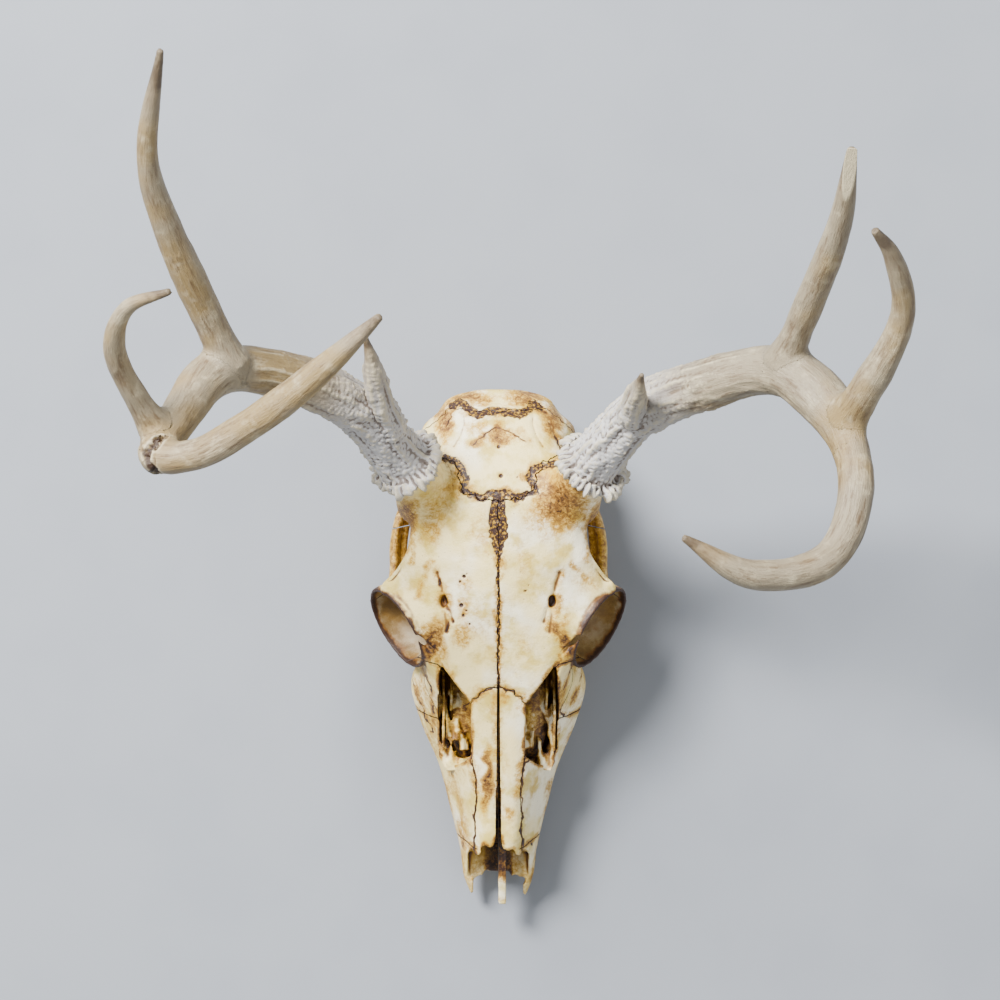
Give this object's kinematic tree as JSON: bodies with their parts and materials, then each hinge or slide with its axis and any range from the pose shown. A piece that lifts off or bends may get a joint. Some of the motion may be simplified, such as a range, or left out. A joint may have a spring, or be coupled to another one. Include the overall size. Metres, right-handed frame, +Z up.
{
  "type": "deer skull",
  "caption": "Skull of a white-tailed buck without its lower jaw, with both branching antlers, lying on its cheek teeth.",
  "frame": {"origin": "under the middle of the bounding box, at the level of the chewing faces that the skull lies on", "axes": "+Z up through the skull's roof, -Y towards the nose, +X towards the animal's own left side"},
  "size_m": [0.3506, 0.3916, 0.3131],
  "materials": {
    "bone": "cleaned dry bone, cream white with brown stain in its sutures, satin",
    "inner_bone": "thin stained bone and cartilage inside the nose, matt",
    "antler": "weathered antler, grey beige to tan, ridged, matt"
  },
  "bodies": {
    "root": {"parietal": "bone", "occipital": "bone", "skull_base": "bone", "frontal_left": "bone", "nasal_left": "bone", "maxilla_left": "bone", "premaxilla_left": "bone", "lacrimal_left": "bone", "zygomatic_left": "bone", "temporal_left": "bone", "frontal_right": "bone", "nasal_right": "bone", "maxilla_right": "bone", "premaxilla_right": "bone", "lacrimal_right": "bone", "zygomatic_right": "bone", "temporal_right": "bone", "nasal_septum": "inner_bone", "turbinate_left": "inner_bone", "turbinate_right": "inner_bone", "antler_left_base": "antler", "antler_left_middle": "antler", "antler_left_main_tip": "antler", "antler_left_brow_tine": "antler", "antler_left_second_tine": "antler", "antler_left_third_tine": "antler", "antler_right_base": "antler", "antler_right_middle": "antler", "antler_right_main_tip": "antler", "antler_right_brow_tine": "antler", "antler_right_second_tine": "antler", "antler_right_third_tine": "antler"}
  },
  "joints": []
}
